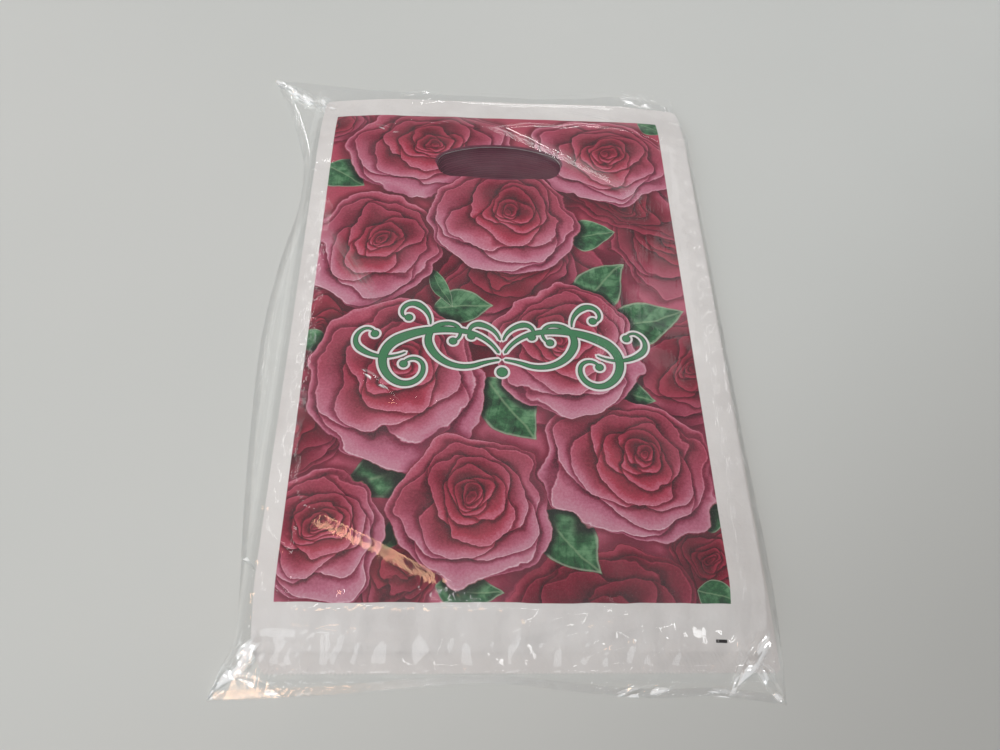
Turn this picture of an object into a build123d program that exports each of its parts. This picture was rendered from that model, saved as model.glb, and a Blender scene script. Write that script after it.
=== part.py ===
from build123d import *
import os

# A flat pack of carrier-type gift bags in a clear film sleeve. Millimetres.
# +X runs across the pack, +Y towards the bags' handle end, +Z up.
# The origin is the centre of the sleeve's footprint, on the surface it lies on.
os.makedirs("parts", exist_ok=True)

# Clear sleeve: a film tube, welded across one end and open at the other
WRAP_WIDTH = 232.0
WRAP_LENGTH = 338.0
WRAP_FILM = 0.15
WELD_STRIP = 3.0
WRAP_TOP_Z = 12.55
TOP_PANEL_LEFT_X = -98.0
TOP_PANEL_RIGHT_X = 110.0
TOP_PANEL_END_Y = -163.0
MOUTH_Y = 160.0

# Gift bags: two film plies, welded down both sides and across the bottom
BAG_COUNT = 20
BAG_WIDTH = 200.0
BAG_LENGTH = 302.0
BAG_THICKNESS = 0.5
PLY = 0.12
BAG_PITCH = 0.56
FIRST_BAG_Z = 0.45
SIDE_WELD = 2.5
BOTTOM_WELD = 4.0
BOTTOM_HEM = 3.0
TOP_BAG_X = 7.5
TOP_BAG_Y = -0.5
CORNER_R = 4.0

# The stack leans: each bag down the stack lies a little further out
LEAN_X = 4.5
LEAN_Y = -7.5

# Handle slot, cut through both plies of every bag, with a straight palm edge and an arched top
SLOT_FROM_TOP = 50.5
SLOT_OFFSET_X = -3.0
SLOT_HALF_FLAT = 24.0
SLOT_HALF_ARCH = 27.0
SLOT_HALF_WIDTH = 33.0
SLOT_HALF_HEIGHT = 11.5
SLOT_SHOULDER_Y = 6.0
SLOT_END_Y = -2.5

half_width = WRAP_WIDTH / 2
half_length = WRAP_LENGTH / 2
skirt_y = -half_length + WELD_STRIP
ply_gap = BAG_THICKNESS - 2 * PLY


def block(x0, x1, y0, y1, z0, z1):
    """A box between two corners."""
    size = (x1 - x0, y1 - y0, z1 - z0)
    centre = ((x0 + x1) / 2, (y0 + y1) / 2, (z0 + z1) / 2)
    return Pos(*centre) * Box(*size)


def hood(inset):
    """The space under the upper film, as two crossing trapezoid prisms, drawn in by a distance."""
    base_z = WRAP_FILM - inset
    top_z = WRAP_TOP_Z - inset
    across = Plane.XZ * Polygon(
        (inset - half_width, base_z),
        (TOP_PANEL_LEFT_X + inset, top_z),
        (TOP_PANEL_RIGHT_X - inset, top_z),
        (half_width - inset, base_z),
        align=None,
    )
    along = Plane.YZ * Polygon(
        (skirt_y + inset, base_z),
        (TOP_PANEL_END_Y + inset, top_z),
        (half_length, top_z),
        (half_length, base_z),
        align=None,
    )
    across_prism = extrude(across, amount=half_length, both=True)
    along_prism = extrude(along, amount=half_width, both=True)
    return across_prism & along_prism


def upper_film():
    """The upper film as one bent shell, flat over the stack and sloping down to the folds."""
    shell = hood(0) - hood(WRAP_FILM)
    return shell & block(-half_width, half_width, skirt_y, MOUTH_Y, WRAP_FILM, WRAP_TOP_Z)


def make_wrap():
    """The sleeve's flat and sloping stretches of film, each a simple plate."""
    film = upper_film()
    top_under = WRAP_TOP_Z - WRAP_FILM
    far = half_length
    top_zone = block(
        TOP_PANEL_LEFT_X, TOP_PANEL_RIGHT_X, TOP_PANEL_END_Y, far, top_under, WRAP_TOP_Z
    )
    left_zone = block(-half_width, TOP_PANEL_LEFT_X, -far, far, 0, WRAP_TOP_Z)
    right_zone = block(TOP_PANEL_RIGHT_X, half_width, -far, far, 0, WRAP_TOP_Z)
    end_zone = block(
        TOP_PANEL_LEFT_X, TOP_PANEL_RIGHT_X, -far, TOP_PANEL_END_Y, 0, WRAP_TOP_Z
    )
    return {
        "wrap_lower_film": block(-half_width, half_width, -far, far, 0, WRAP_FILM),
        "wrap_top_film": film & top_zone,
        "wrap_left_film": film & left_zone,
        "wrap_right_film": film & right_zone,
        "wrap_end_film": film & end_zone,
        "wrap_end_weld": block(
            -half_width, half_width, -far, skirt_y, WRAP_FILM, 2 * WRAP_FILM
        ),
    }


def slot_outline(x, y):
    """The handle slot's outline about its centre."""
    palm_left = (x - SLOT_HALF_FLAT, y - SLOT_HALF_HEIGHT)
    palm_right = (x + SLOT_HALF_FLAT, y - SLOT_HALF_HEIGHT)
    arch_right = (x + SLOT_HALF_ARCH, y + SLOT_SHOULDER_Y)
    arch_left = (x - SLOT_HALF_ARCH, y + SLOT_SHOULDER_Y)
    edges = [
        Line(palm_left, palm_right),
        ThreePointArc(palm_right, (x + SLOT_HALF_WIDTH, y + SLOT_END_Y), arch_right),
        ThreePointArc(arch_right, (x, y + SLOT_HALF_HEIGHT), arch_left),
        ThreePointArc(arch_left, (x - SLOT_HALF_WIDTH, y + SLOT_END_Y), palm_left),
    ]
    return make_face(Curve() + edges)


def bag_place(number):
    """The centre and underside of a bag, counted from 1 at the top of the stack."""
    depth = (number - 1) / (BAG_COUNT - 1)
    x = TOP_BAG_X + LEAN_X * depth
    y = TOP_BAG_Y + LEAN_Y * depth
    z = FIRST_BAG_Z + BAG_PITCH * (BAG_COUNT - number)
    return x, y, z


def ply_sheet(x, y, z, thickness):
    """One flat ply with rounded corners and the handle slot."""
    sheet = Pos(x, y) * RectangleRounded(BAG_WIDTH, BAG_LENGTH, CORNER_R)
    slot_y = y + BAG_LENGTH / 2 - SLOT_FROM_TOP
    sheet -= slot_outline(x + SLOT_OFFSET_X, slot_y)
    return extrude(Pos(0, 0, z) * sheet, amount=thickness)


def ply_space(x, y, z):
    """The space between a bag's two plies, inside its welds and open at the handle end."""
    half = BAG_WIDTH / 2 - SIDE_WELD
    low = y - BAG_LENGTH / 2 + BOTTOM_HEM + BOTTOM_WELD
    high = y + BAG_LENGTH / 2 + 1
    return block(x - half, x + half, low, high, z + PLY, z + PLY + ply_gap)


def make_bag(number):
    """A whole bag as one welded piece."""
    x, y, z = bag_place(number)
    return ply_sheet(x, y, z, BAG_THICKNESS) - ply_space(x, y, z)


def make_top_bag():
    """The top bag taken apart into its two panels and the three weld strips between them."""
    x, y, z = bag_place(1)
    between = ply_sheet(x, y, z + PLY, ply_gap) - ply_space(x, y, z)
    half = BAG_WIDTH / 2
    low = y - BAG_LENGTH / 2
    weld_top = low + BOTTOM_HEM + BOTTOM_WELD
    high = y + BAG_LENGTH / 2
    under = z + PLY
    over = under + ply_gap
    left = block(x - half, x - half + SIDE_WELD, weld_top, high, under, over)
    right = block(x + half - SIDE_WELD, x + half, weld_top, high, under, over)
    bottom = block(x - half, x + half, low, weld_top, under, over)
    return {
        "top_bag_front_panel": ply_sheet(x, y, z + BAG_THICKNESS - PLY, PLY),
        "top_bag_back_panel": ply_sheet(x, y, z, PLY),
        "top_bag_left_weld": between & left,
        "top_bag_right_weld": between & right,
        "top_bag_bottom_weld": between & bottom,
    }


def make_all():
    """Every node of the pack by name."""
    nodes = make_wrap()
    nodes.update(make_top_bag())
    for number in range(2, BAG_COUNT + 1):
        nodes[f"bag_{number:02d}"] = make_bag(number)
    return nodes


for name, shape in make_all().items():
    shape.label = name
    export_step(shape, f"parts/{name}.step")
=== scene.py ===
import math

import bpy
import numpy as np
from mathutils import Matrix, Quaternion, Vector, geometry


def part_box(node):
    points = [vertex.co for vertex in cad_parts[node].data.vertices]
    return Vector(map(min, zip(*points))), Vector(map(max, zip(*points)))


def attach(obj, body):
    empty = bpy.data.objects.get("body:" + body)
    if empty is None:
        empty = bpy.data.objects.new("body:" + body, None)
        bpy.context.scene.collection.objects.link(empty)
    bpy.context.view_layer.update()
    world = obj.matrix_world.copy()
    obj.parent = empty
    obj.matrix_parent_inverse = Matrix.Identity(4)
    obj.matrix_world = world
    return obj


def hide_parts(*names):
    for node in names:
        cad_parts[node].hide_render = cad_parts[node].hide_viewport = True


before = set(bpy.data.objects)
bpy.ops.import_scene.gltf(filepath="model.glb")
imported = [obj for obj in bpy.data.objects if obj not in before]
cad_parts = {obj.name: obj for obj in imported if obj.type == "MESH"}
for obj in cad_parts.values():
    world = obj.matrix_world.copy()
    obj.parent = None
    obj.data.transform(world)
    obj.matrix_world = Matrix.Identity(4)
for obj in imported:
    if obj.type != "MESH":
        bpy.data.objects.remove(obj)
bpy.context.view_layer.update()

# ---------------------------------------------------------------- sizes, in millimetres
# Each bag is laid out about its own centre, and the print about the print's centre.
BAG_HALF_WIDTH = 100.0
BAG_HALF_LENGTH = 151.0
BAG_CORNER_R = 4.0
TOOTH_PITCH = 1.6
TOOTH_DEPTH = 0.8
PRINT_HALF_WIDTH = 89.0
PRINT_HALF_LENGTH = 135.0
PRINT_OFFSET = (-3.0, 0.5)
SLOT_CENTRE = (-3.0, 100.5)
SLOT_HALF_FLAT = 24.0
SLOT_HALF_ARCH = 27.0
SLOT_HALF_WIDTH = 33.0
SLOT_HALF_HEIGHT = 11.5
SLOT_SHOULDER_Y = 6.0
SLOT_END_Y = -2.5
STACK_TOP = 11.6
# The stack's edges seen from above. Each bag lies further right than the one over it.
STACK_LEFT = -92.5
STACK_RIGHT = 112.0
STACK_CLOSED_END = -159.5
STACK_SLOT_END = 150.5
TOP_BAG_RIGHT = 107.5
LOWER_BAG_HEIGHTS = (0.06, 0.44)  # where a lower bag's two panels lie over its CAD node's underside
SLEEVE_WIDTH = 228.0
SLEEVE_LENGTH = 328.0
BACK_SIDE = 1000.0  # added to a face's flat position where the film is unprinted
CUT_EDGE = 2000.0  # added to a face's flat position on the film's cut edges
SAG = 9.0  # how far the lowest bag's mouth end has slid back, its slack lying in hidden ripples
SLUMP = 32.0  # how far from its closed end the stack starts to sink
FILM_GAP = 0.35  # how far the sleeve's upper film lies over the stack
FILM_TOP = 12.5  # about how high that film lies
FLOOR_HALF = 30.0  # metres

# Where the camera stands and what it faces, in metres.
CAMERA_AT = Vector((-0.0152, -0.2230, 0.3250))
CAMERA_AIM = Vector((0.0035, -0.0332, 0.0120))

BAG_NODES = [f"bag_{number:02d}" for number in range(2, 21)]


# ---------------------------------------------------------------- helpers for number fields
def smooth(t):
    """0 to 1 with soft ends."""
    t = np.clip(t, 0.0, 1.0)
    return t * t * (3.0 - 2.0 * t)


def waves(x, y, length, seed, count=7):
    """A smooth irregular field from -1 to 1, about a length in millimetres from crest to crest."""
    rng = np.random.default_rng(seed)
    total = np.zeros_like(x, dtype=float)
    for _ in range(count):
        angle = rng.uniform(0, math.tau)
        pitch = length * rng.uniform(0.7, 1.5)
        phase = rng.uniform(0, math.tau)
        total += np.sin(math.tau * (x * math.cos(angle) + y * math.sin(angle)) / pitch + phase)
    return total / (0.6 * count)


def along(x, y, a, b):
    """How far each point is along a segment, from 0 to 1, and how far off it, with its sign."""
    dx, dy = b[0] - a[0], b[1] - a[1]
    size = math.hypot(dx, dy)
    share = ((x - a[0]) * dx + (y - a[1]) * dy) / size**2
    off = ((y - a[1]) * dx - (x - a[0]) * dy) / size
    return share, off


# ---------------------------------------------------------------- the stack's shape
def stack_scale(x, y):
    """How full the stack stands, from 1 in its middle to less at its slumped edges."""
    to_side = np.minimum(x - STACK_LEFT, STACK_RIGHT - x)
    to_mouth = STACK_SLOT_END - y
    to_bottom = y - STACK_CLOSED_END
    side = 0.88 + 0.12 * smooth(to_side / 16.0)
    mouth = 0.72 + 0.28 * smooth(to_mouth / 26.0)
    bottom = 0.10 + 0.90 * smooth((to_bottom - 3.0) / SLUMP)
    corner_left = 1.0 - 0.30 * smooth(1.0 - np.hypot(x - STACK_LEFT, y - STACK_SLOT_END) / 42.0)
    corner_right = 1.0 - 0.22 * smooth(1.0 - np.hypot(x - TOP_BAG_RIGHT, y - STACK_SLOT_END) / 34.0)
    return side * mouth * bottom * corner_left * corner_right


def stack_ripple(x, y):
    """The upper bags' ripples, in millimetres: broad swells, and puckers beside the welds."""
    broad = 0.22 * waves(x, y, 90.0, 3) + 0.10 * waves(x, y, 38.0, 4)
    pucker_x = waves(x, 0.25 * y, 10.0, 5)
    crease = waves(0.35 * x, y, 12.0, 9)
    near_bottom = np.exp(-(((y + 147.0) / 12.0) ** 2))
    pucker_y = np.sin(math.tau * y / 11.0 + 1.8 * waves(x, y, 70.0, 6))
    to_side = np.minimum(np.abs(x - STACK_LEFT), np.abs(x - TOP_BAG_RIGHT))
    near_side = np.exp(-((to_side / 7.0) ** 2))
    top_wave = 0.5 * waves(x, 0 * y, 60.0, 8) * np.exp(-(((y - STACK_SLOT_END) / 16.0) ** 2))
    bottom = (0.80 * pucker_x + 0.30 * crease) * near_bottom
    return broad + bottom + 0.20 * pucker_y * near_side + top_wave


def stack_height(x, y, rest):
    """Where a level of the stack that CAD keeps at height rest lies here, in millimetres."""
    share = rest / STACK_TOP
    return rest * stack_scale(x, y) + stack_ripple(x, y) * share**2 + 0.25 * share


# ---------------------------------------------------------------- flat cuts of film
def arc_through(a, b, c, count):
    """Points on the arc from a through b to c, without c."""
    ax, ay, bx, by, cx, cy = *a, *b, *c
    d = 2 * (ax * (by - cy) + bx * (cy - ay) + cx * (ay - by))
    a2, b2, c2 = ax * ax + ay * ay, bx * bx + by * by, cx * cx + cy * cy
    ux = (a2 * (by - cy) + b2 * (cy - ay) + c2 * (ay - by)) / d
    uy = (a2 * (cx - bx) + b2 * (ax - cx) + c2 * (bx - ax)) / d
    r = math.hypot(ax - ux, ay - uy)
    start = math.atan2(ay - uy, ax - ux)
    middle = math.atan2(by - uy, bx - ux)
    end = math.atan2(cy - uy, cx - ux)
    turn = (end - start) % math.tau
    if (middle - start) % math.tau > turn:
        turn -= math.tau
    angles = [start + turn * i / count for i in range(count)]
    return [(ux + r * math.cos(t), uy + r * math.sin(t)) for t in angles]


def line_points(a, b, step):
    """Points on a straight edge, without its end."""
    count = max(1, round(math.hypot(b[0] - a[0], b[1] - a[1]) / step))
    return [(a[0] + (b[0] - a[0]) * i / count, a[1] + (b[1] - a[1]) * i / count) for i in range(count)]


def slot_loop(step):
    """The hand slot's outline: a straight palm edge, round ends and an arched top."""
    x, y = SLOT_CENTRE
    palm_left = (x - SLOT_HALF_FLAT, y - SLOT_HALF_HEIGHT)
    palm_right = (x + SLOT_HALF_FLAT, y - SLOT_HALF_HEIGHT)
    arch_right = (x + SLOT_HALF_ARCH, y + SLOT_SHOULDER_Y)
    arch_left = (x - SLOT_HALF_ARCH, y + SLOT_SHOULDER_Y)
    loop = line_points(palm_left, palm_right, step)
    loop += arc_through(palm_right, (x + SLOT_HALF_WIDTH, y + SLOT_END_Y), arch_right, 14)
    loop += arc_through(arch_right, (x, y + SLOT_HALF_HEIGHT), arch_left, 30)
    loop += arc_through(arch_left, (x - SLOT_HALF_WIDTH, y + SLOT_END_Y), palm_left, 14)
    return loop


def bag_loop(step):
    """A bag's outline: a toothed bottom edge, straight sides and a cut top edge with round corners."""
    w, h, r = BAG_HALF_WIDTH, BAG_HALF_LENGTH, BAG_CORNER_R
    teeth = round(2 * (w - 1) / (TOOTH_PITCH / 2))
    loop = []
    for i in range(teeth + 1):
        x = -w + 1 + 2 * (w - 1) * i / teeth
        loop.append((x, -h - (TOOTH_DEPTH if i % 2 else 0.0)))
    half = r * (1 - math.sqrt(0.5))
    loop += line_points((w, -h + 1), (w, h - r), step)
    loop += arc_through((w, h - r), (w - half, h - half), (w - r, h), 5)
    loop += line_points((w - r, h), (-w + r, h), step)
    loop += arc_through((-w + r, h), (-w + half, h - half), (-w, h - r), 5)
    loop += line_points((-w, h - r), (-w, -h + 1), step)
    return loop


def inside(loop, points):
    """Which points lie inside a closed loop."""
    hits = np.zeros(len(points), bool)
    px, py = points[:, 0], points[:, 1]
    for (x0, y0), (x1, y1) in zip(loop, loop[1:] + loop[:1]):
        if y0 == y1:
            continue
        crosses = (y0 > py) != (y1 > py)
        hits ^= crosses & (px < (x1 - x0) * (py - y0) / (y1 - y0) + x0)
    return hits


def flat_cut(step):
    """A bag's panel laid flat, as points and triangles, with its slot and teeth."""
    outer, slot = bag_loop(step), slot_loop(step)
    rim = np.array(outer + slot)
    xs = np.arange(-BAG_HALF_WIDTH + step, BAG_HALF_WIDTH, step)
    ys = np.arange(-BAG_HALF_LENGTH + step, BAG_HALF_LENGTH, step)
    grid = np.stack(np.meshgrid(xs, ys), -1).reshape(-1, 2)
    grid = grid[inside(outer, grid) & ~inside(slot, grid)]
    near = np.zeros(len(grid), bool)
    for x, y in rim:
        near |= (np.abs(grid[:, 0] - x) < 0.5 * step) & (np.abs(grid[:, 1] - y) < 0.5 * step)
    points = np.concatenate([rim, grid[~near]])
    first, second = len(outer), len(outer) + len(slot)
    edges = [(i, (i + 1) % first) for i in range(first)]
    edges += [(i, i + 1 if i + 1 < second else first) for i in range(first, second)]
    found = geometry.delaunay_2d_cdt([Vector(p) for p in points], edges, [], 0, 1e-7)
    flat = np.array([tuple(v) for v in found[0]])
    faces = np.array([tuple(f) for f in found[2]])
    middles = flat[faces].mean(1)
    kept = faces[inside(outer, middles) & ~inside(slot, middles)]
    a, b, c = (flat[kept[:, i]] for i in range(3))
    turned = (b[:, 0] - a[:, 0]) * (c[:, 1] - a[:, 1]) < (b[:, 1] - a[:, 1]) * (c[:, 0] - a[:, 0])
    kept[turned] = kept[turned][:, ::-1]
    return flat, kept


def rim_edges(triangles):
    """The directed edges that only one triangle has."""
    pairs = np.concatenate([triangles[:, [0, 1]], triangles[:, [1, 2]], triangles[:, [2, 0]]])
    keys = {tuple(p) for p in pairs.tolist()}
    return np.array([p for p in pairs.tolist() if (p[1], p[0]) not in keys])


# ---------------------------------------------------------------- meshes
def add_object(name, data):
    """A new object in the scene."""
    made = bpy.data.objects.new(name, data)
    bpy.context.scene.collection.objects.link(made)
    return made


def mesh_piece(name, points, faces, flat_uv, smooth_angle=50.0):
    """A Blender object from points in millimetres, faces, and each face corner's flat position."""
    mesh = bpy.data.meshes.new(name)
    mesh.from_pydata((points * 0.001).tolist(), [], faces)
    layer = mesh.uv_layers.new(name="flat")
    layer.data.foreach_set("uv", np.asarray(flat_uv, np.float32).ravel())
    mesh.shade_smooth()
    mesh.set_sharp_from_angle(angle=math.radians(smooth_angle))
    return add_object(name, mesh)


def thin_piece(name, low, high, triangles, rim, flat, low_shift=BACK_SIDE):
    """A closed thin piece between two point sheets with the same triangles."""
    count = len(low)
    points = np.concatenate([low, high])
    under = triangles[:, ::-1]
    over = triangles + count
    walls = np.column_stack([rim[:, 0], rim[:, 1], rim[:, 1] + count, rim[:, 0] + count])
    faces = under.tolist() + over.tolist() + walls.tolist()
    shifted = flat + np.array([low_shift, 0.0])
    uv = np.concatenate(
        [shifted[under].reshape(-1, 2), flat[triangles].reshape(-1, 2)]
        + [flat[rim[:, [0, 1, 1, 0]]].reshape(-1, 2) + np.array([CUT_EDGE, 0.0])]
    )
    return mesh_piece(name, points, faces, uv)


def bag_centre(node):
    """The centre of a bag's CAD node and the height of its underside, in millimetres."""
    low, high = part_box(node)
    return 500.0 * (low.x + high.x), 500.0 * (low.y + high.y), 1000.0 * low.z


def laid_sheet(flat, centre, rest, turn=0.0, shift=(0.0, 0.0)):
    """A flat cut's points laid in the stack at a rest height."""
    c, s = math.cos(turn), math.sin(turn)
    depth = 1.0 - rest / STACK_TOP
    slid = flat[:, 1] - SAG * smooth(depth) * smooth((flat[:, 1] + 120.0) / 180.0)
    x = centre[0] + shift[0] + c * flat[:, 0] - s * slid
    y = centre[1] + shift[1] + s * flat[:, 0] + c * slid
    return np.column_stack([x, y, stack_height(x, y, rest)])


def make_lower_bags(material):
    """Bags 2 to 20, each two panels joined round the rim, a little out of line with its neighbours."""
    flat, triangles = flat_cut(4.0)
    rim = rim_edges(triangles)
    rng = np.random.default_rng(21)
    for node in BAG_NODES:
        x, y, z = bag_centre(node)
        turn = math.radians(rng.uniform(-0.12, 0.12))
        shift = rng.uniform(-0.3, 0.3, 2)
        low, high = (laid_sheet(flat, (x, y), z + up, turn, shift) for up in LOWER_BAG_HEIGHTS)
        bag = thin_piece(f"{node}_film", low, high, triangles, rim, flat)
        bag.data.materials.append(material)
        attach(bag, node)
        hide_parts(node)


def make_top_bag(printed, plain):
    """The top bag's printed front panel, its plain back panel and the weld strips between them."""
    x, y, z = bag_centre("top_bag_back_panel")
    flat, triangles = flat_cut(2.0)
    rim = rim_edges(triangles)
    panels = (
        ("top_bag_front_film", "top_bag_front_panel", z + 0.38, printed, "printed_film"),
        ("top_bag_back_film", "top_bag_back_panel", z + 0.02, plain, "white_film"),
    )
    for name, node, rest, material, slot in panels:
        low = laid_sheet(flat, (x, y), rest)
        high = laid_sheet(flat, (x, y), rest + 0.08)
        piece = thin_piece(name, low, high, triangles, rim, flat)
        piece.data.materials.append(material)
        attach(piece, "bag_01")
        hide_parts(node)
    for node, box in weld_strips():
        make_weld(node, box, (x, y), z, plain)


def weld_strips():
    """Each weld strip of the top bag as its node and its flat rectangle."""
    w, h = BAG_HALF_WIDTH - 0.3, BAG_HALF_LENGTH
    return (
        ("top_bag_left_weld", (-w, -w + 2.2, -h + 7.0, h - 5.0)),
        ("top_bag_right_weld", (w - 2.2, w, -h + 7.0, h - 5.0)),
        ("top_bag_bottom_weld", (-w, w, -h + 2.5, -h + 6.8)),
    )


def make_weld(node, box, centre, z, material):
    """A weld strip, finely ribbed along its length, between the top bag's two panels."""
    x0, x1, y0, y1 = box
    across = np.linspace(x0, x1, 3 + round((x1 - x0) / 1.5))
    up = np.linspace(y0, y1, 3 + round((y1 - y0) / 1.5))
    grid = np.stack(np.meshgrid(across, up), -1)
    flat = grid.reshape(-1, 2)
    triangles = grid_triangles(len(across), len(up))
    rim = rim_edges(triangles)
    rib = 0.03 * np.sin(flat[:, 0] * 2.1) * np.sin(flat[:, 1] * 2.1)
    low = laid_sheet(flat, centre, z + 0.13)
    high = laid_sheet(flat, centre, z + 0.31)
    low[:, 2] += rib * 0.5
    high[:, 2] += rib
    strip = thin_piece(f"{node}_strip", low, high, triangles, rim, flat, low_shift=0.0)
    strip.data.materials.append(material)
    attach(strip, "bag_01")
    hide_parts(node)


def grid_triangles(columns, rows):
    """Two triangles for each cell of a grid of points."""
    index = np.arange(columns * rows).reshape(rows, columns)
    a, b = index[:-1, :-1].ravel(), index[:-1, 1:].ravel()
    c, d = index[1:, 1:].ravel(), index[1:, :-1].ravel()
    return np.concatenate([np.column_stack([a, b, c]), np.column_stack([a, c, d])])


# ---------------------------------------------------------------- the clear sleeve
# Where the sleeve's edges run, as (along, out) pairs in millimetres that a smooth curve joins.
LEFT_FOLD = (
    (-169, -106), (-158, -103), (-146, -99), (-130, -100), (-100, -103), (-60, -106), (0, -108),
    (40, -105), (80, -100), (104, -101), (128, -107), (150, -115), (172, -125),
)
RIGHT_FOLD = ((-171, 112), (-150, 114.0), (-60, 114.5), (60, 113.5), (120, 112), (164, 106))
MOUTH_EDGE = ((-125, 172), (-108, 164), (-80, 158), (-20, 157), (50, 158), (82, 163), (108, 160))
LOWER_MOUTH_EDGE = ((-125, 172), (-108, 171), (-80, 168), (-20, 165), (50, 165), (82, 168), (108, 160))
END_EDGE = (
    (-106, -169), (-85, -168), (-60, -167), (-25, -164), (0, -163), (30, -166), (60, -168.5),
    (85, -168), (112, -171),
)

# Folds in the upper film: start, end, height and half-width in millimetres.
FOLDS = (
    ((-22, 133), (80, 71), 1.4, 7.0),
    ((72, 128), (98, 112), 0.7, 5.0),
    ((-62, 132), (-26, 126), 0.5, 0.9),
    ((-124, 172), (-87, 80), 0.9, 0.9),
    ((-87, 80), (-60, 20), 0.5, 4.0),
    ((-100, 60), (-96, -120), 0.9, 1.8),
    ((-107, 40), (-103, -100), 0.6, 1.2),
    ((-86, -92), (-5, -134), 1.6, 7.0),
    ((-100, -106), (-81, -117), 0.9, 0.9),
    ((-104, -108), (-84, -122), 0.8, 0.7),
    ((-58, -33), (-40, -51), 1.4, 1.8),
    ((-44, -44), (-8, -50), 0.5, 0.7),
    ((-42, -50), (-4, -57), 0.4, 0.6),
    ((0, -148), (57, -135), 1.1, 2.2),
    ((14, -152), (60, -141), 0.8, 1.4),
    ((31, -156), (66, -149), 1.1, 1.6),
    ((60, -154), (82, -151), 0.9, 1.1),
    ((-92, -145), (-34, -150), 1.0, 1.4),
    ((80, -164), (104, -145), 1.6, 1.3),
    ((92, -150), (110, -168), 1.2, 1.0),
    ((-94, 146), (-124, 171), 2.4, 2.0),
    ((-98, 152), (-114, 166), 1.6, 0.8),
    ((-92, -140), (-105, -167), 2.2, 1.6),
    ((-92, -152), (-102, -160), 1.4, 0.8),
    ((-100, -165), (-72, -160), 1.2, 1.0),
    ((78, 158), (98, 152), 1.4, 1.0),
    ((84, 148), (90, 160), 1.2, 0.8),
)
# Crinkled patches: centre, reach and height in millimetres.
CRINKLES = (
    ((-112, 160), 14.0, 1.7),
    ((-99, -156), 14.0, 1.7),
    ((103, -160), 15.0, 1.7),
    ((60, -163), 13.0, 1.2),
    ((89, 155), 12.0, 1.5),
    ((-40, 154), 9.0, 0.9),
    ((-76, -162), 12.0, 1.0),
    ((-64, -149), 20.0, 0.8),
    ((-14, -150), 20.0, 0.7),
    ((46, -149), 22.0, 0.8),
    ((-52, 122), 9.0, 0.5),
)


def through(pairs, at):
    """A smooth curve through (along, out) pairs, read at each place along."""
    xs = np.array([p[0] for p in pairs], float)
    ys = np.array([p[1] for p in pairs], float)
    slope = np.gradient(ys, xs)
    i = np.clip(np.searchsorted(xs, at) - 1, 0, len(xs) - 2)
    gap = xs[i + 1] - xs[i]
    t = np.clip((at - xs[i]) / gap, 0, 1)
    h00, h10 = 2 * t**3 - 3 * t**2 + 1, t**3 - 2 * t**2 + t
    h01, h11 = 3 * t**2 - 2 * t**3, t**3 - t**2
    return h00 * ys[i] + h10 * gap * slope[i] + h01 * ys[i + 1] + h11 * gap * slope[i + 1]


def sleeve_plan(s, t, mouth):
    """Plan positions that fill the sleeve's outline, from shares across and along it."""
    x, y = -110 + 223 * s, -167 + 327 * t  # a first guess, which three rounds settle
    for _ in range(3):
        x = through(LEFT_FOLD, y) * (1 - s) + through(RIGHT_FOLD, y) * s
        y = through(END_EDGE, x) * (1 - t) + through(mouth, x) * t
    return x, y


def crinkle(x, y, size, seed):
    """Sharp-edged facets, as crumpled film has, from 0 to about 1."""
    a = np.abs(waves(x, y, size, seed, 4))
    b = np.abs(waves(x, y, size * 0.6, seed + 1, 4))
    c = np.abs(waves(x, y, size * 0.33, seed + 2, 4))
    return 0.55 * a + 0.3 * b + 0.15 * c


def sleeve_height(x, y):
    """The upper film's height: over the stack, down to its folds, with folds and crinkles."""
    inside_x = np.clip(x, STACK_LEFT, STACK_RIGHT - 2.5)
    inside_y = np.clip(y, STACK_CLOSED_END + 1.5, STACK_SLOT_END)
    bridged_y = inside_y + 12.0 * smooth((-95 - inside_y) / 35)
    over = stack_height(inside_x, bridged_y, 12.1) + FILM_GAP
    left = np.clip((STACK_LEFT - 1.0 - x) / 8.0, 0, 1)
    right = np.clip((x - (STACK_RIGHT - 2.0)) / 3.5, 0, 1)
    end = np.clip((STACK_CLOSED_END - y) / 3.5, 0, 1)
    fall = (1 - smooth(left)) * (1 - right) * (1 - end) ** 1.2
    z = FILM_GAP + (over - FILM_GAP) * fall
    loose = 0.25 + 0.75 * (1 - fall)
    slack = np.ones_like(z)
    for a, b, height, width in FOLDS:
        share, off = along(x, y, a, b)
        bend = off - 0.02 * math.dist(a, b) * np.sin(math.pi * np.clip(share, 0, 1))
        taper = smooth(share / 0.25) * smooth((1 - share) / 0.25)
        z += height * taper * np.exp(-np.abs(bend / width) ** 1.3)
        slack *= 1 - 0.85 * (width > 6.0) * taper * np.exp(-((bend / (2 * width)) ** 2))
    z += (0.3 * (1 + waves(x, y, 70.0, 11)) * loose + 0.12 * (1 + waves(x, y, 24.0, 12))) * slack
    for (cx, cy), reach, height in CRINKLES:
        near = np.exp(-((np.hypot(x - cx, y - cy) / reach) ** 2))
        z += height * near * crinkle(x, y, 13.0, 31)
    return np.maximum(z, 0.3)


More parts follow.
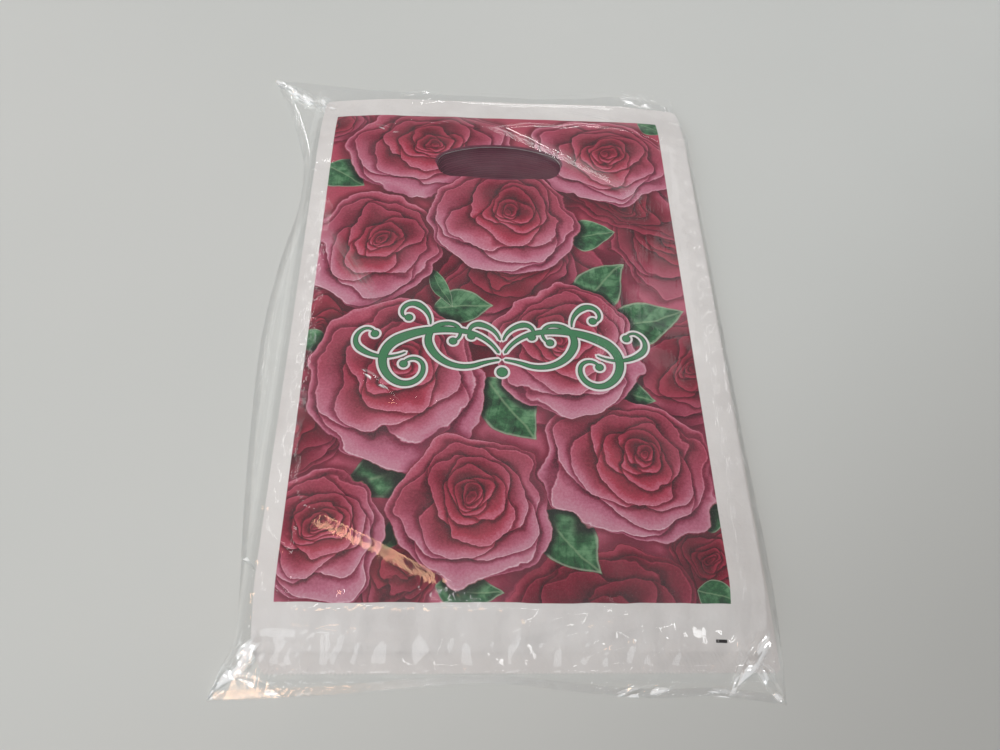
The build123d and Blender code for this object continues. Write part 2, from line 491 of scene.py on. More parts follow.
def make_sleeve(film, weld):
    """The sleeve, one tube of film open at its mouth, and the weld across its closed end."""
    columns, below, rows = 220, 34, 340
    s, t = np.meshgrid(np.linspace(0, 1, columns), np.linspace(0, 1, rows))
    x, y = sleeve_plan(s, t, MOUTH_EDGE)
    z = sleeve_height(x, y)
    fold = np.minimum(np.minimum(s, 1 - s) * SLEEVE_WIDTH, t * SLEEVE_LENGTH)
    z = 0.22 + (z - 0.22) * smooth(fold / 1.2)
    s2, t2 = np.meshgrid(np.linspace(1, 0, below + 2)[1:-1], np.linspace(0, 1, rows))
    x2, y2 = sleeve_plan(s2, t2, LOWER_MOUTH_EDGE)
    inner = smooth(np.minimum(s2, 1 - s2) * SLEEVE_WIDTH / 10)
    out = smooth((y2 - 150) / 16)
    z2 = 0.20 - 0.10 * inner * (1 - out) + 0.35 * out * inner * (1 + waves(x2, y2, 30.0, 52))
    x, y, z = (np.concatenate([top, low], 1) for top, low in ((x, x2), (y, y2), (z, z2)))
    around = columns + below
    index = np.arange(around * rows).reshape(rows, around)
    turn = np.roll(index, -1, 1)
    faces = np.stack([index[:-1], turn[:-1], turn[1:], index[1:]], -1).reshape(-1, 4)
    flat = np.column_stack([x.ravel(), y.ravel()])
    points = np.column_stack([flat, z.ravel()])
    tube = mesh_piece("sleeve_film", points, faces.tolist(), flat[faces].reshape(-1, 2), 180)
    tube.data.materials.append(film)
    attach(tube, "wrap")
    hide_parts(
        "wrap_top_film", "wrap_left_film", "wrap_right_film", "wrap_end_film", "wrap_lower_film"
    )
    strip = make_end_weld(weld)


def make_end_weld(weld):
    """The pressed strip across the sleeve's closed end."""
    columns, rows = 150, 7
    gx, gb = np.meshgrid(np.linspace(-104, 110, columns), np.linspace(0.0, 3.0, rows))
    gx, gb = gx.ravel(), gb.ravel()
    gy = through(END_EDGE, gx) + 0.3 + gb
    low = np.column_stack([gx, gy, np.full_like(gx, 0.10)])
    rib = 0.10 + 0.05 * np.sin(gx * 2.6) * np.sin(gb * 2.1)
    high = np.column_stack([gx, gy, 0.24 + rib])
    triangles = grid_triangles(columns, rows)
    flat = np.column_stack([gx, gy])
    strip = thin_piece("sleeve_end_weld_strip", low, high, triangles, rim_edges(triangles), flat, 0.0)
    strip.data.materials.append(weld)
    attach(strip, "wrap")
    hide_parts("wrap_end_weld")
    return strip


# ---------------------------------------------------------------- material nodes
class Nodes:
    """Builds one material's node tree. Its methods take sockets or plain numbers."""

    def __init__(self, name):
        self.material = bpy.data.materials.new(name)
        self.material.use_nodes = True
        self.tree = self.material.node_tree
        self.tree.nodes.clear()

    def node(self, kind, inputs, output=0, **settings):
        made = self.tree.nodes.new(kind)
        for key, value in settings.items():
            setattr(made, key, value)
        for key, value in inputs.items():
            if isinstance(value, bpy.types.NodeSocket):
                self.tree.links.new(value, made.inputs[key])
            else:
                made.inputs[key].default_value = value
        return made.outputs[output]

    def math(self, operation, a, b=0.0, c=0.0):
        return self.node("ShaderNodeMath", {0: a, 1: b, 2: c}, operation=operation)

    def add(self, a, b):
        return self.math("ADD", a, b)

    def sub(self, a, b):
        return self.math("SUBTRACT", a, b)

    def mul(self, a, b):
        return self.math("MULTIPLY", a, b)

    def madd(self, a, b, c):
        return self.math("MULTIPLY_ADD", a, b, c)

    def most(self, a, b):
        return self.math("MAXIMUM", a, b)

    def size(self, value):
        return self.math("ABSOLUTE", value)

    def ramp(self, value, low, high, to_low=0.0, to_high=1.0, kind="SMOOTHSTEP"):
        """value from low to high, read as to_low to to_high, and held beyond."""
        return self.node(
            "ShaderNodeMapRange",
            {"Value": value, "From Min": low, "From Max": high, "To Min": to_low, "To Max": to_high},
            interpolation_type=kind,
        )

    def step(self, value, low, high):
        """A plain slope from 0 at low to 1 at high, held beyond."""
        return self.ramp(value, low, high, kind="LINEAR")

    def mix(self, share, a, b):
        return self.node("ShaderNodeMix", {0: share, 2: a, 3: b}, 0, data_type="FLOAT")

    def mix_colour(self, share, a, b, blend="MIX"):
        return self.node("ShaderNodeMix", {0: share, 6: a, 7: b}, 2, data_type="RGBA", blend_type=blend)

    def mix_place(self, share, a, b):
        return self.mix(share, a[0], b[0]), self.mix(share, a[1], b[1])

    def split(self, vector):
        """A vector's x and y."""
        made = self.tree.nodes.new("ShaderNodeSeparateXYZ")
        self.tree.links.new(vector, made.inputs[0])
        return made.outputs[0], made.outputs[1]

    def join(self, place):
        """A vector from x and y."""
        return self.node("ShaderNodeCombineXYZ", {0: place[0], 1: place[1]})

    def place(self, at, centre, turn=0.0, size=(1.0, 1.0)):
        """A place seen from a centre, turned back by an angle in degrees and divided by a size."""
        (x, y), (cx, cy), (sx, sy) = at, centre, size
        c, s = math.cos(math.radians(turn)), math.sin(math.radians(turn))
        u = self.madd(x, c / sx, self.madd(y, s / sx, -(cx * c + cy * s) / sx))
        v = self.madd(x, -s / sy, self.madd(y, c / sy, (cx * s - cy * c) / sy))
        return u, v

    def square(self, place, centre=(0.0, 0.0)):
        """The square of the distance from a centre."""
        dx, dy = place
        if centre != (0.0, 0.0):
            dx, dy = self.sub(dx, centre[0]), self.sub(dy, centre[1])
        return self.madd(dx, dx, self.mul(dy, dy))

    def noise(self, vector, scale, detail=2.0, roughness=0.5, colour=False):
        return self.node(
            "ShaderNodeTexNoise",
            {"Vector": vector, "Scale": scale, "Detail": detail, "Roughness": roughness},
            1 if colour else 0,
        )

    def colours(self, value, stops):
        """A colour ramp through (place, colour) stops."""
        made = self.tree.nodes.new("ShaderNodeValToRGB")
        self.tree.links.new(value, made.inputs[0])
        elements = made.color_ramp.elements
        while len(elements) < len(stops):
            elements.new(0.5)
        for element, (at, colour) in zip(elements, stops):
            element.position = at
            element.color = colour
        return made.outputs[0]

    def finish(self, surface):
        out = self.tree.nodes.new("ShaderNodeOutputMaterial")
        self.tree.links.new(surface, out.inputs["Surface"])
        return self.material


def paint(red, green, blue):
    """A colour given as 0 to 255 on a screen, as the light it stands for."""
    return tuple(((v / 255 + 0.055) / 1.055) ** 2.4 for v in (red, green, blue)) + (1.0,)


# ---------------------------------------------------------------- the printed pattern
# Roses, furthest back first, from the print's centre: centre, half-sizes and turn, in mm and degrees.
BACK_ROSES = (
    ((88, 46), (33, 34), 20),
    ((66, 76), (40, 22), 150),
    ((-92, 128), (22, 20), 60),
    ((-84, -4), (26, 24), 200),
    ((84, -28), (26, 30), 300),
    ((88, -118), (24, 22), 110),
    ((-44, -122), (18, 18), 250),
    ((38, -146), (42, 32), 10),
    ((5, 22), (36, 22), 30),
    ((-90, -60), (22, 24), 120),
)
FRONT_ROSES = (
    ((-38, 108), (44, 32), 10),
    ((56, 104), (38, 31), -15),
    ((-62, 40), (32, 37), -20),
    ((-48, -36), (38, 45), 10),
    ((-13, -97), (34, 34), 20),
    ((54, -77), (38, 34), -20),
    ((30, -18), (35, 36), 30),
    ((2, 60), (38, 36), -10),
    ((-74, -108), (27, 27), 30),
)
# Leaves: base, tip and half-width in millimetres.
LEAVES = (
    ((33, 50), (58, 52), 10),
    ((36, 6), (60, 32), 12),
    ((48, -8), (88, 4), 13),
    ((40, -36), (69, -44), 11),
    ((-8, -34), (14, -66), 14),
    ((-32, 4), (-4, 6), 10),
    ((-20, -68), (-70, -92), 13),
    ((14, -98), (38, -124), 13),
    ((-26, -54), (-17, -70), 6),
    ((-40, -102), (-48, -116), 5),
    ((-28, -130), (0, -133), 7),
    ((76, -100), (94, -96), 8),
    ((-92, 96), (-70, 80), 10),
    ((-34, 26), (-22, 4), 4),
    ((78, 134), (94, 126), 6),
    ((-92, -10), (-80, -22), 6),
    ((76, -130), (92, -134), 6),
)
# A rose's rings of petals, widest first: count, distance off centre, radius, share of the heart's offset.
PETAL_RINGS = (
    (3, 0.26, 0.74, 0.0),
    (4, 0.27, 0.58, 0.4),
    (3, 0.18, 0.45, 0.8),
    (3, 0.11, 0.31, 1.0),
    (3, 0.06, 0.20, 1.0),
    (2, 0.03, 0.115, 1.0),
    (1, 0.01, 0.055, 1.0),
)
HEART = (0.08, 0.16)


def rose_petals():
    """The petals of the one rose that all are drawn from, widest first: centre and radius."""
    petals = []
    for count, off, radius, share in PETAL_RINGS:
        for i in range(count):
            angle = math.radians(137.5 * len(petals) + 250)
            x = off * math.cos(angle) + HEART[0] * share
            y = off * math.sin(angle) + HEART[1] * share
            petals.append(((x, y), radius * (1 - 0.07 * i)))
    return petals


def rose_layer(n, at, roses, place):
    """Lays roses over one another: each point's place on the topmost, its cover, and its shade."""
    cover, shade = 0.0, 1.0
    for centre, size, turn in roses:
        local = n.place(at, centre, turn, size)
        reach = n.square(local)
        inside_it = n.step(reach, 1.0, 0.97)
        cast = n.ramp(reach, 0.94, 1.30, 0.34, 1.0)
        shade = n.mix(inside_it, n.mul(shade, cast), 1.0)
        place = n.mix_place(inside_it, place, local)
        cover = n.most(cover, inside_it)
    return place, cover, shade


def rose_tone(n, place):
    """How light a rose is at a point, and how much it faces out, from its petals drawn widest first."""
    reach = n.square(place)
    tone = n.add(n.ramp(reach, 0.45, 1.0, 0.30, 0.66), n.ramp(reach, 0.90, 0.99, 0.0, 0.22))
    facing = n.ramp(place[1], -0.8, 0.9, 1.0, 0.2)
    for centre, radius in rose_petals():
        far = n.square(place, centre)
        inside_it = n.step(far, radius**2, (radius - 0.010) ** 2)
        shadow = n.ramp(far, radius**2, (radius * 1.10 + 0.03) ** 2, 0.38, 1.0)
        low = n.ramp(n.madd(place[1], 1 / radius, -centre[1] / radius), -0.9, 0.7, 1.0, 0.1)
        rim = n.ramp(far, (radius * 0.45) ** 2, (radius * 0.97) ** 2, 0.13, 0.46)
        lip = n.ramp(far, (radius * 0.955) ** 2, (radius * 0.985) ** 2, 0.0, 0.19)
        petal = n.add(n.madd(low, 0.32, rim), lip)
        tone = n.mix(inside_it, n.mul(tone, shadow), petal)
        facing = n.mix(inside_it, facing, low)
    return tone, facing


def leaf_layer(n, at):
    """Each point's place on the topmost leaf, its cover, and the pale line round its edge."""
    place, cover, edge = at, 0.0, 0.0
    for base, tip, half_width in LEAVES:
        length = math.dist(base, tip)
        turn = math.degrees(math.atan2(tip[1] - base[1], tip[0] - base[0]))
        u, v = n.place(at, base, turn, (length, half_width))
        bulge = n.math("SINE", n.mul(n.math("POWER", n.most(u, 0.0), 0.8), math.pi))
        room = n.sub(bulge, n.size(v))
        bounds = n.math("LESS_THAN", n.size(n.sub(u, 0.5)), 0.5)
        inside_it = n.mul(n.step(room, 0.0, 0.05), bounds)
        line = n.mul(n.step(room, 0.13, 0.05), inside_it)
        edge = n.mix(inside_it, edge, line)
        place = n.mix_place(inside_it, place, (u, v))
        cover = n.most(cover, inside_it)
    return place, cover, edge


def leaf_colour(n, place, blotch, edge):
    """A leaf's green, with its midrib, side veins and blotches."""
    u, v = place
    off = n.size(v)
    midrib = n.ramp(off, 0.0, 0.07, 1.0, 0.0)
    comb = n.math("SINE", n.mul(n.sub(u, n.mul(off, 0.35)), 44.0))
    veins = n.ramp(comb, 0.75, 1.0)
    side = n.ramp(v, -0.1, 0.1, 0.0, 0.16)
    tone = n.add(n.add(n.ramp(blotch, 0.3, 0.7, 0.05, 0.75), side), n.mul(veins, -0.12))
    greens = ((0.0, paint(22, 52, 34)), (0.45, paint(50, 104, 66)), (1.0, paint(112, 160, 118)))
    green = n.colours(tone, greens)
    green = n.mix_colour(n.mul(midrib, 0.45), green, paint(150, 178, 140))
    return n.mix_colour(n.mul(edge, 0.55), green, paint(190, 196, 176))


def petal_colour(n, tone, outer):
    """A petal's colour: deep red inside the cup, greyer and paler on the outer faces."""
    deep = (
        (0.0, paint(48, 8, 20)),
        (0.30, paint(120, 22, 44)),
        (0.60, paint(172, 52, 76)),
        (0.85, paint(202, 110, 134)),
        (1.0, paint(230, 184, 198)),
    )
    pale = (
        (0.0, paint(66, 16, 34)),
        (0.30, paint(142, 54, 82)),
        (0.60, paint(186, 108, 134)),
        (0.85, paint(200, 146, 163)),
        (1.0, paint(222, 188, 200)),
    )
    return n.mix_colour(outer, n.colours(tone, deep), n.colours(tone, pale))


def printed_pattern(n, vector, flat):
    """The print's colour at each flat position in millimetres from the print's centre."""
    x, y = flat
    bend_x, bend_y = 0.0, 0.0
    for scale, reach in ((0.045, 17.0), (0.11, 4.5), (0.4, 1.0)):
        nx, ny = n.split(n.noise(vector, scale, 1.0, colour=True))
        bend_x = n.madd(nx, reach, n.sub(bend_x, reach / 2))
        bend_y = n.madd(ny, reach, n.sub(bend_y, reach / 2))
    blotch = n.noise(vector, 0.16, 3.0, 0.6)
    vein = n.noise(vector, 0.9, 4.0, 0.65)
    at = n.add(x, bend_x), n.add(y, bend_y)
    leaf_at = n.madd(bend_x, 0.35, x), n.madd(bend_y, 0.35, y)

    start = n.place(at, (10, 0), 40, (60, 60))
    back, _, back_shade = rose_layer(n, at, BACK_ROSES, start)
    front, cover, shade = rose_layer(n, at, FRONT_ROSES, back)
    tone, facing = rose_tone(n, front)
    tone = n.add(tone, n.ramp(vein, 0.3, 0.7, -0.07, 0.07))
    behind = n.mul(n.mix(cover, 0.66, 1.0), n.mix(cover, back_shade, 1.0))
    tone = n.mul(tone, n.mul(behind, shade))
    outer = n.mul(n.ramp(n.square(front), 0.05, 0.6), n.madd(facing, 0.85, 0.15))
    colour = petal_colour(n, tone, n.mul(outer, n.mix(cover, 0.5, 1.0)))
    place, leaf_cover, edge = leaf_layer(n, leaf_at)
    leaves = leaf_colour(n, place, blotch, edge)
    shaded = n.mix_colour(n.ramp(shade, 0.4, 1.0), paint(70, 70, 70), paint(255, 255, 255))
    leaves = n.mix_colour(1.0, leaves, shaded, "MULTIPLY")
    return n.mix_colour(n.mul(leaf_cover, n.sub(1.0, cover)), colour, leaves)


# ---------------------------------------------------------------- the ornament over the roses
def scroll_strokes():
    """Strokes of a mirrored scroll ornament: start, heading in degrees, bends and widths.

    Each bend is (radius, degrees turned): left for a positive angle. Widths are in millimetres."""
    return (
        (
            (1.5, -21.0), 62.0,
            ((22.0, -50.0), (44.0, -42.0), (13.0, -120.0), (8.0, -130.0), (4.6, -150.0)), (1.4, 5.0, 1.4),
        ),
        ((1.5, -25.0), -8.0, ((40.0, -14.0), (17.0, 92.0), (9.0, 120.0), (5.0, 150.0)), (1.2, 4.2, 1.2)),
        ((33.0, -6.0), 92.0, ((12.0, -62.0), (5.0, -130.0), (2.8, -90.0)), (0.8, 3.2, 1.0)),
        ((44.0, -22.0), -30.0, ((18.0, 70.0), (6.5, 110.0), (3.6, 110.0)), (0.8, 3.2, 1.0)),
        ((0.8, -14.0), 74.0, ((12.0, -62.0), (4.2, -140.0)), (1.0, 3.6, 1.0)),
    )


def stroke_arcs(start, heading, bends, widths):
    """A stroke's bends as arcs: centre, radius, first angle, turn, and width at each end."""
    x, y = start
    width_start, width_middle, width_end = widths
    total = sum(radius * abs(math.radians(turn)) for radius, turn in bends)
    done, arcs = 0.0, []

    def width(share):
        if share < 0.45:
            return width_start + (width_middle - width_start) * share / 0.45
        return width_middle + (width_end - width_middle) * (share - 0.45) / 0.55

    for radius, turn in bends:
        side = 1 if turn > 0 else -1
        normal = math.radians(heading + 90 * side)
        cx, cy = x + radius * math.cos(normal), y + radius * math.sin(normal)
        first = math.degrees(math.atan2(y - cy, x - cx))
        step = radius * abs(math.radians(turn))
        arcs.append((cx, cy, radius, first, turn, width(done / total), width((done + step) / total)))
        done += step
        heading += turn
        last = math.radians(first + turn)
        x, y = cx + radius * math.cos(last), cy + radius * math.sin(last)
    return arcs, (x, y)


def arc_gap(n, at, arc):
    """How far a point is outside an arc's inked band, in millimetres: negative on it."""
    cx, cy, radius, first, turn, width0, width1 = arc
    u, v = n.place(at, (cx, cy), first + turn / 2)
    angle = n.math("ARCTAN2", v, u)
    half = math.radians(turn) / 2
    half_width = n.ramp(angle, -half, half, width0 / 2, width1 / 2, "LINEAR")
    off = n.size(n.sub(n.math("SQRT", n.square((u, v))), radius))
    past = n.most(n.sub(n.size(angle), abs(half)), 0.0)
    return n.sub(n.madd(past, radius, off), half_width)


def dot_gap(n, at, centre, radius):
    """How far a point is outside a round dot."""
    return n.sub(n.math("SQRT", n.square(at, centre)), radius)


def ornament_gap(n, flat):
    """How far a point is from the ornament's ink, in millimetres."""
    at = n.size(flat[0]), flat[1]
    gap = dot_gap(n, at, (0.0, -31.5), 2.6)
    for stroke in scroll_strokes():
        arcs, end = stroke_arcs(*stroke)
        for arc in arcs:
            gap = n.math("MINIMUM", gap, arc_gap(n, at, arc))
        gap = n.math("MINIMUM", gap, dot_gap(n, at, end, 2.0))
    return gap


def ornament_over(n, colour, flat):
    """The green scroll with its white outline over a colour."""
    gap = ornament_gap(n, flat)
    colour = n.mix_colour(n.step(gap, 1.15, 1.0), colour, paint(226, 222, 222))
    colour = n.mix_colour(n.step(gap, 0.12, -0.05), colour, paint(34, 62, 44))
    return n.mix_colour(n.step(gap, -0.2, -0.45), colour, paint(60, 126, 84))


# ---------------------------------------------------------------- materials
FILM_WHITES = ((0.3, paint(213, 210, 208)), (0.7, paint(227, 225, 223)))


def printed_film():
    """White film printed with roses inside plain white margins."""
    n = Nodes("printed_film")
    raw = n.node("ShaderNodeUVMap", {}, uv_map="flat")
    raw_x, raw_y = n.split(raw)
    flat = x, y = n.sub(raw_x, PRINT_OFFSET[0]), n.sub(raw_y, PRINT_OFFSET[1])
    vector = n.join(flat)
    ink = ornament_over(n, printed_pattern(n, vector, flat), flat)
    grain = n.noise(vector, 2.6, 2.0, 0.7)
    ink = n.mix_colour(n.ramp(grain, 0.60, 0.80, 0.0, 0.35), ink, paint(214, 190, 194))
    wobble = n.ramp(n.noise(vector, 0.05, 1.0), 0.3, 0.7, -0.25, 0.25)
    in_x = n.step(n.size(x), PRINT_HALF_WIDTH, PRINT_HALF_WIDTH - 0.2)
    in_y = n.step(n.add(n.size(y), wobble), PRINT_HALF_LENGTH, PRINT_HALF_LENGTH - 0.2)
    cloud = n.noise(vector, 0.03, 3.0, 0.6)
    white = n.colours(cloud, FILM_WHITES)
    # The register mark near the closed end's right corner.
    mark_x = n.math("LESS_THAN", n.size(n.sub(x, 85.0)), 2.3)
    mark_y = n.math("LESS_THAN", n.size(n.add(y, 148.0)), 0.6)
    white = n.mix_colour(n.mul(mark_x, mark_y), white, paint(30, 24, 26))
    # The film's cut edges round the slot are dark maroon, partly their ink and partly painted shade; a ring
    # of painted shade lies on its faces a little way past the slot.
    slot_x, slot_y = SLOT_CENTRE[0] - PRINT_OFFSET[0], SLOT_CENTRE[1] - PRINT_OFFSET[1]
    cut_x = n.math("LESS_THAN", n.size(n.sub(x, CUT_EDGE)), 40.0)
    cut_y = n.math("LESS_THAN", n.size(n.sub(y, slot_y)), 20.0)
    white = n.mix_colour(n.mul(cut_x, cut_y), white, paint(96, 42, 62))
    colour = n.mix_colour(n.mul(in_x, in_y), white, ink)
    # Painted shade: a dark maroon ring on the film's faces just round the slot.
    slot_shade_reach = (SLOT_HALF_WIDTH + 1.6, SLOT_HALF_HEIGHT + 1.6)
    cut = n.square(n.place(flat, (slot_x, slot_y), 0, slot_shade_reach))
    colour = n.mix_colour(n.ramp(cut, 1.0, 0.94), colour, paint(92, 38, 58))
    wrinkle = n.noise(n.join((x, n.mul(y, 0.45))), 0.13, 2.0, 0.6)
    bump_height = n.madd(wrinkle, 1.8, n.noise(vector, 0.5, 3.0, 0.6))
    bump = n.node("ShaderNodeBump", {"Strength": 0.45, "Distance": 0.0006, "Height": bump_height})
    roughness = n.ramp(n.noise(vector, 0.08, 2.0), 0.3, 0.7, 0.38, 0.52)
    shader = n.node(
        "ShaderNodeBsdfPrincipled",
        {"Base Color": colour, "Roughness": roughness, "Normal": bump, "Specular IOR Level": 0.35},
    )
    return n.finish(shader)


def plain_film():
    """Unprinted white film."""
    n = Nodes("plain_film")
    flat = n.node("ShaderNodeUVMap", {}, uv_map="flat")
    cloud = n.noise(flat, 0.05, 3.0, 0.6)
    white = n.colours(cloud, FILM_WHITES)
    grain = n.noise(flat, 0.4, 3.0)
    bump = n.node("ShaderNodeBump", {"Strength": 0.25, "Distance": 0.0006, "Height": grain})
    roughness = n.ramp(cloud, 0.3, 0.7, 0.40, 0.55)
    shader = n.node(
        "ShaderNodeBsdfPrincipled", {"Base Color": white, "Roughness": roughness, "Normal": bump}
    )
    return n.finish(shader)


# Places where the film is painted white, partly as crumpled, crazed film and partly as painted glints on its
# facets: centre, turn, half-sizes and strength, in millimetres and degrees.
CRUMPLES_AND_GLINTS = (
    ((-109, 161), -38, (24, 4.5), 1.0),
    ((-91, 148), -50, (9, 4), 0.8),
    ((-99, -157), 50, (17, 6), 0.9),
    ((-88, -163), -25, (12, 2.5), 0.8),
    ((-103, -112), -42, (13, 1.2), 0.9),
    ((98, -156), 52, (16, 5), 0.9),
    ((107, -163), -60, (9, 3), 0.8),
    ((92, -168), -15, (12, 2.5), 0.8),
    ((84, 154), -20, (12, 4), 0.9),
    ((-42, 154), 10, (9, 2), 0.8),
    ((56, -166), 8, (16, 2.5), 0.8),
    ((-56, 122), -25, (8, 2), 0.5),
    ((-52, -37), -42, (9, 2.2), 0.9),
)

# Broad soft streaks of painted sheen over the film: centre, turn, half-sizes and strength, likewise.
PAINTED_SHEENS = (
    ((45, 99), -33, (52, 7), 0.17),
    ((67, 135), -19, (32, 5), 0.14),
    ((-20, 132), -12, (26, 5), 0.10),
    ((-67, 26), -58, (34, 6), 0.13),
)


def crumple_and_glint_white(n, flat):
    """How white the film is painted at its crumpled places, facet by facet: partly crazed film, partly
    painted glints.
    """
    white, at = 0.0, n.split(flat)
    for centre, turn, (half_length, half_width), strength in CRUMPLES_AND_GLINTS:
        u, v = n.place(at, centre, turn, (half_length, half_width))
        near = n.ramp(n.square((u, v)), 1.0, 0.3, 0.0, strength)
        stretched = n.join((n.mul(u, half_length * 0.11), n.mul(v, half_width * 0.55)))
        facet = n.node("ShaderNodeTexVoronoi", {"Vector": stretched, "Scale": 1.3}, 1)
        # Painted glints: bright facets painted white, with a fainter white between them.
        facet_glint = n.add(n.ramp(facet, 0.58, 0.62, 0.0, 0.7), n.ramp(facet, 0.3, 0.58, 0.0, 0.3))
        white = n.most(white, n.mul(near, facet_glint))
    return white


def painted_sheen(n, flat):
    """How much the film's painted sheen, in broad soft streaks, hides what is under it."""
    sheen, at = 0.0, n.split(flat)
    for centre, turn, size, strength in PAINTED_SHEENS:
        u, v = n.place(at, centre, turn, size)
        near = n.ramp(n.square((u, v)), 1.0, 0.0, 0.0, strength)
        strands = n.noise(n.join((u, n.mul(v, 4.0))), 1.1, 2.0, 0.6)
        sheen = n.add(sheen, n.mul(near, n.ramp(strands, 0.3, 0.7, 0.2, 1.0)))
    return sheen


def clear_film(name, haze, rough_low, rough_high):
    """Clear film that mirrors a little everywhere and more where it is seen edge on, with painted sheens and
    painted glints.
    """
    n = Nodes(name)
    flat = n.node("ShaderNodeUVMap", {}, uv_map="flat")
    broad = n.noise(flat, 0.05, 2.0, 0.5)
    streak = n.noise(n.join(n.place(n.split(flat), (0, 0), 86, (26.0, 2.4))), 0.9, 2.0)
    height = n.madd(streak, 0.5, broad)
    bump = n.node("ShaderNodeBump", {"Strength": 0.16, "Distance": 0.001, "Height": height})
    fresnel = n.node("ShaderNodeFresnel", {"IOR": 1.5, "Normal": bump})
    # The crumpled places mirror more, and are painted white as crazed film and as painted glints.
    crumple_and_glint = crumple_and_glint_white(n, flat)
    share = n.madd(crumple_and_glint, 0.3, n.math("MINIMUM", n.mul(fresnel, 0.65), 0.2))
    glint = n.colours(share, ((0.0, (0.0, 0.0, 0.0, 1.0)), (1.0, (1.0, 1.0, 1.0, 1.0))))
    through = n.colours(fresnel, ((0.05, (0.992, 0.992, 0.992, 1.0)), (0.6, (0.84, 0.84, 0.84, 1.0))))
    cloudy = n.ramp(broad, 0.3, 0.7, 0.6 * haze, 1.4 * haze)
    # Painted sheen in broad streaks and painted glints at the crumpled places whiten the film over its own
    # haze.
    white = n.most(n.add(cloudy, painted_sheen(n, flat)), n.mul(crumple_and_glint, 0.85))
    roughness = n.ramp(n.noise(flat, 0.1, 2.0), 0.3, 0.7, rough_low, rough_high)
    mirror = n.node("ShaderNodeBsdfGlossy", {"Color": glint, "Roughness": roughness, "Normal": bump})
    clear = n.node("ShaderNodeBsdfTransparent", {"Color": through})
    tint = n.colours(broad, ((0.3, paint(246, 248, 248)), (0.7, paint(252, 252, 252))))
    milk = n.node("ShaderNodeBsdfDiffuse", {"Color": tint})
    see = n.node("ShaderNodeMixShader", {0: white, 1: clear, 2: milk})
    return n.finish(n.node("ShaderNodeAddShader", {0: see, 1: mirror}))


def table_top():
    """A pale grey-green laminate."""
    n = Nodes("table_top")
    where = n.node("ShaderNodeTexCoord", {}, 3)
    cloud = n.noise(where, 3.0, 3.0)
    colour = n.colours(cloud, ((0.3, paint(203, 206, 203)), (0.7, paint(207, 209, 206))))
    roughness = n.ramp(n.noise(where, 40.0, 2.0), 0.3, 0.7, 0.5, 0.6)
    shader = n.node("ShaderNodeBsdfPrincipled", {"Base Color": colour, "Roughness": roughness})
    return n.finish(shader)


# ---------------------------------------------------------------- stage, lights and camera
def make_floor():
    """The surface the pack lies on."""
    mesh = bpy.data.meshes.new("floor")
    half = FLOOR_HALF
    corners = [(-half, -half, 0), (half, -half, 0), (half, half, 0), (-half, half, 0)]
    mesh.from_pydata(corners, [], [(0, 1, 2, 3)])
    floor = add_object("floor", mesh)
    mesh.materials.append(table_top())


def new_light(name, kind, power, colour):
    """A light of one kind, not yet placed, and its data."""
    data = bpy.data.lights.new(name, kind)
    data.energy = power
    data.color = colour
    return add_object(name, data), data


def area_light(name, at, aim, size, power, colour=(1.0, 1.0, 1.0)):
    """A rectangular soft light that faces a point."""
    light, data = new_light(name, "AREA", power, colour)
    data.shape = "RECTANGLE"
    data.size, data.size_y = size
    light.location = at
    light.rotation_euler = (Vector(aim) - Vector(at)).to_track_quat("-Z", "Y").to_euler()


def make_lights():
    """A pale room, soft light from the front, left and overhead, and thin strips for the film's glints."""
    world = bpy.data.worlds.new("room")
    world.use_nodes = True
    background = world.node_tree.nodes["Background"]
    background.inputs["Color"].default_value = (0.94, 0.97, 1.0, 1.0)
    seen = world.node_tree.nodes.new("ShaderNodeLightPath").outputs["Is Camera Ray"]
    strength = world.node_tree.nodes.new("ShaderNodeMapRange")
    strength.inputs["To Min"].default_value = 0.20
    strength.inputs["To Max"].default_value = 0.42
    world.node_tree.links.new(seen, strength.inputs["Value"])
    world.node_tree.links.new(strength.outputs["Result"], background.inputs["Strength"])
    bpy.context.scene.world = world
    wide_light("front_light", (-0.7, -1.4, 1.25), 30.0, 0.8, (0.93, 0.97, 1.0))
    area_light("left_softbox", (-1.5, 0.5, 0.9), (0, 0, 0), (1.6, 1.1), 3.2, (0.95, 0.98, 1.0))
    area_light("glare_card", (0.62, 1.15, 1.3), (0.05, 0.1, 0), (0.22, 0.6), 0.5)
    beam_light("ceiling_lamp", (-1.04, 0.92, 6.0), (-1.77, 2.41, 0.0), (0.138, -0.191, 0.0), 515.0)
    fold_light("orange_tube", (-86, -92), (-5, -134), 8.0, -1, 0.10, 2.8, (1.0, 0.60, 0.36))
    fold_light("window_slit", (-22, 133), (80, 71), 7.5, 1, 0.05, 0.5)
    fold_light("low_slit", (0, -148), (57, -135), 24.0, -1, 0.09, 1.6)
    # Four strips round the direction that flat film mirrors the camera's view to.
    ahead = Vector((0.05, 0.517, 0.854)).normalized()
    across = ahead.cross(Vector((0, 0, 1))).normalized()
    over = across.cross(ahead)
    strips = (
        ("north", -over, across, 0.45, 0.8),
        ("south", over, across, 0.45, 0.8),
        ("east", across, over, 1.2, 0.7),
        ("west", -across, over, 1.2, 1.0),
    )
    far, apart, width = 1.8, 0.92, 0.03
    for name, side, aside, length, power in strips:
        strip_light(name, far * ahead + apart * side, aside, length, width, power)


def wide_light(name, towards, spread, strength, colour):
    """A light from one direction over the whole floor, as wide as an angle in degrees."""
    light, data = new_light(name, "SUN", strength, colour)
    data.angle = math.radians(spread)
    light.rotation_euler = Vector(towards).to_track_quat("Z", "Y").to_euler()


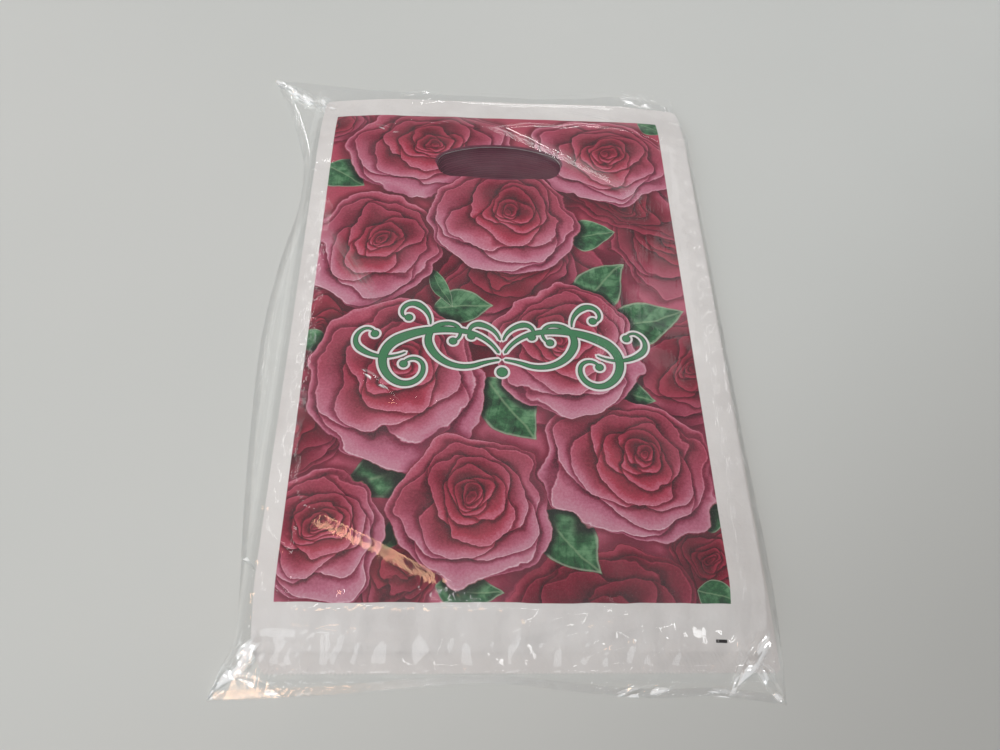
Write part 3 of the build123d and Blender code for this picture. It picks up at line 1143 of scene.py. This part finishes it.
def beam_light(name, at, aim, edge, power):
    """A round lamp whose wide soft-edged beam reaches as far as a given point on the floor."""
    light, data = new_light(name, "SPOT", power, (0.955, 0.98, 1.0))
    gap = Vector(aim) - Vector(at)
    data.shadow_soft_size = 0.12
    data.spot_size = 2 * gap.angle(Vector(edge) - Vector(at))
    data.spot_blend = 0.084
    light.location = at
    light.rotation_euler = gap.to_track_quat("-Z", "Y").to_euler()
    light.visible_glossy = False


def strip_light(name, at, along_it, length, width, power, colour=(1.0, 1.0, 1.0)):
    """A long thin light that lies along a direction and faces the pack."""
    light, data = new_light(name, "AREA", power, colour)
    data.shape = "RECTANGLE"
    data.size, data.size_y = length, width
    facing = at.normalized()
    side = (along_it - facing * along_it.dot(facing)).normalized()
    light.matrix_world = Matrix((side, facing.cross(side), facing)).transposed().to_4x4()
    light.location = at


def fold_light(name, a, b, tilt, side, width, power, colour=(1.0, 1.0, 1.0)):
    """A strip that a film fold's flank from a to b, tilted by an angle in degrees, mirrors to the camera."""
    across = side * Vector((a[1] - b[1], b[0] - a[0], 0)).normalized()
    normal = Vector((0, 0, math.cos(math.radians(tilt)))) + across * math.sin(math.radians(tilt))
    far, ends = 1.7, []
    for x, y in (a, b):
        point = Vector((x, y, FILM_TOP)) * 0.001
        seen = (CAMERA_AT - point).normalized()
        ends.append(point + far * (2 * normal.dot(seen) * normal - seen))
    gap = ends[1] - ends[0]
    strip_light(name, (ends[0] + ends[1]) / 2, gap, gap.length + 0.02, width, power, colour)


def make_camera():
    """The camera, above and in front of the pack's closed end, held a little askew."""
    roll = math.radians(5.8)
    data = bpy.data.cameras.new("camera")
    data.sensor_width = 36.0
    data.lens = 29.34
    camera = add_object("camera", data)
    level = (CAMERA_AIM - CAMERA_AT).to_track_quat("-Z", "Y")
    camera.location = CAMERA_AT
    camera.rotation_euler = (level @ Quaternion((0, 0, 1), roll)).to_euler()
    bpy.context.scene.camera = camera
    bpy.context.scene.view_settings.view_transform = "Standard"


# ---------------------------------------------------------------- the scene
make_floor()
make_lights()
make_camera()
printed = printed_film()
plain = plain_film()
make_top_bag(printed, plain)
make_lower_bags(printed)
make_sleeve(clear_film("clear_film", 0.025, 0.03, 0.10), clear_film("clear_weld", 0.06, 0.12, 0.25))
